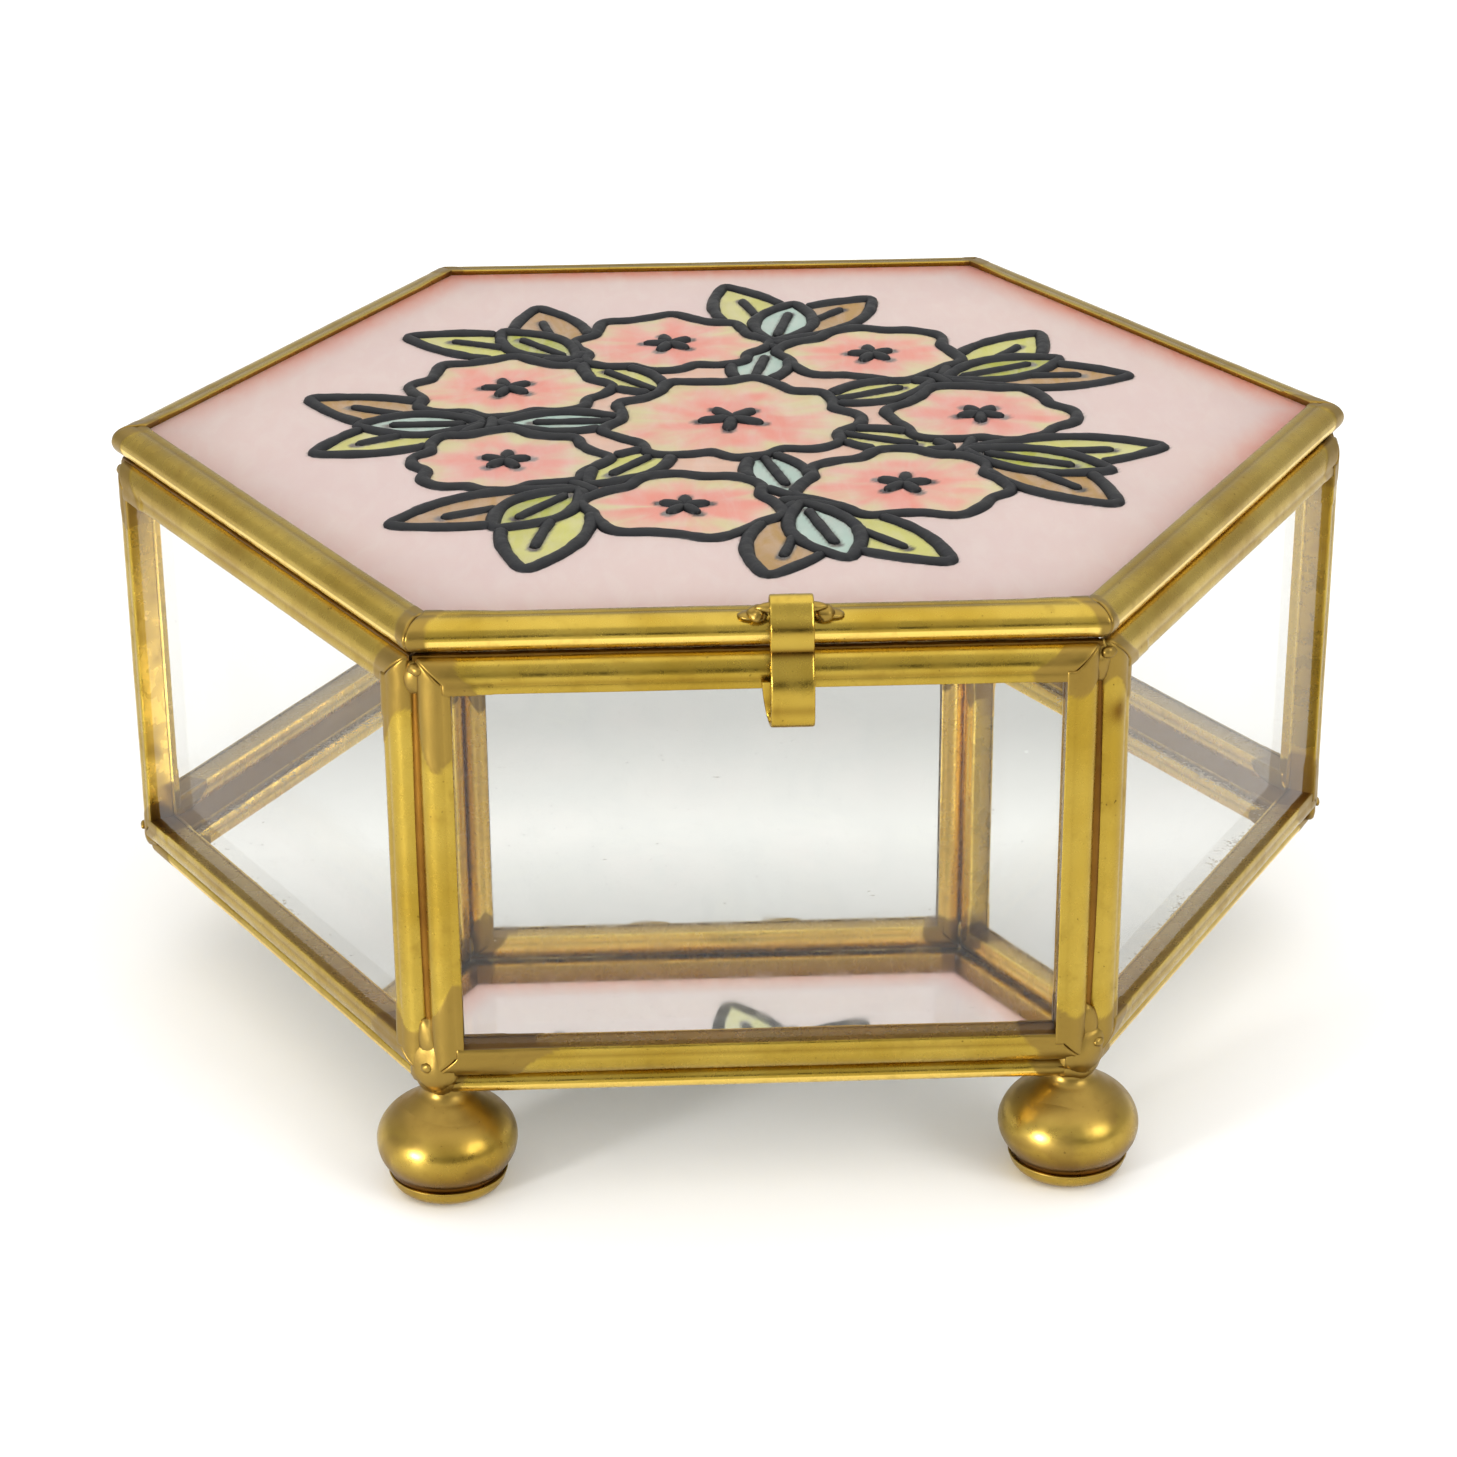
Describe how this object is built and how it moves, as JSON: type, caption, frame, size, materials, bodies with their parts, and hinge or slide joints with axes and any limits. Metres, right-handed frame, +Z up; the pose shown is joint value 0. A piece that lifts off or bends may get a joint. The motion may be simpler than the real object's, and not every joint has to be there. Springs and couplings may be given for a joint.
{
  "type": "vanity trinket box",
  "caption": "Hexagonal glass trinket box in brass came with a mirror floor, ball feet, a front clasp and a rear-hinged lid painted like stained glass.",
  "frame": {"origin": "centre of the box's footprint, on the plane that the feet stand on", "axes": "+X to the right seen from the clasp's side, +Y from the clasp to the hinge, +Z up"},
  "size_m": [0.1336, 0.123, 0.0646],
  "materials": {
    "brass": "polished, aged to olive gold with duller solder at the joints",
    "clear_glass": "clear, polished",
    "painted_glass": "translucent pale pink ground with raised dark outlines and glossy colours",
    "mirror": "silvered, slightly specked"
  },
  "bodies": {
    "box": {"wall_front_glass": "clear_glass", "wall_front_rail_bottom": "brass", "wall_front_rail_top": "brass", "wall_front_stile_left": "brass", "wall_front_stile_right": "brass", "wall_front_right_glass": "clear_glass", "wall_front_right_rail_bottom": "brass", "wall_front_right_rail_top": "brass", "wall_front_right_stile_left": "brass", "wall_front_right_stile_right": "brass", "wall_back_right_glass": "clear_glass", "wall_back_right_rail_bottom": "brass", "wall_back_right_rail_top": "brass", "wall_back_right_stile_left": "brass", "wall_back_right_stile_right": "brass", "wall_back_glass": "clear_glass", "wall_back_rail_bottom": "brass", "wall_back_rail_top": "brass", "wall_back_stile_left": "brass", "wall_back_stile_right": "brass", "wall_back_left_glass": "clear_glass", "wall_back_left_rail_bottom": "brass", "wall_back_left_rail_top": "brass", "wall_back_left_stile_left": "brass", "wall_back_left_stile_right": "brass", "wall_front_left_glass": "clear_glass", "wall_front_left_rail_bottom": "brass", "wall_front_left_rail_top": "brass", "wall_front_left_stile_left": "brass", "wall_front_left_stile_right": "brass", "base_mirror": "mirror", "base_rail_front": "brass", "base_rail_front_right": "brass", "base_rail_back_right": "brass", "base_rail_back": "brass", "base_rail_back_left": "brass", "base_rail_front_left": "brass", "foot_ball_front_left": "brass", "foot_cap_front_left": "brass", "foot_ball_front_right": "brass", "foot_cap_front_right": "brass", "foot_ball_back_right": "brass", "foot_cap_back_right": "brass", "foot_ball_back_left": "brass", "foot_cap_back_left": "brass", "hinge_knuckle_left": "brass", "hinge_knuckle_right": "brass", "hinge_pin": "brass"},
    "lid": {"lid_glass": "painted_glass", "lid_rail_front": "brass", "lid_rail_front_right": "brass", "lid_rail_back_right": "brass", "lid_rail_back": "brass", "lid_rail_back_left": "brass", "lid_rail_front_left": "brass", "hinge_knuckle_lid": "brass", "clasp_wire": "brass"},
    "clasp": {"clasp_tab": "brass"}
  },
  "joints": [
    {"name": "lid_hinge", "type": "hinge", "parent": "box", "child": "lid", "pos_m": [0, 0.06, 0.0589], "axis": [-1, 0, 0], "range_deg": [0, 110]},
    {"name": "clasp_pivot", "type": "hinge", "parent": "lid", "child": "clasp", "pos_m": [0.003, -0.0578, 0.06335], "axis": [-1, 0, 0], "range_deg": [0, 120]}
  ]
}
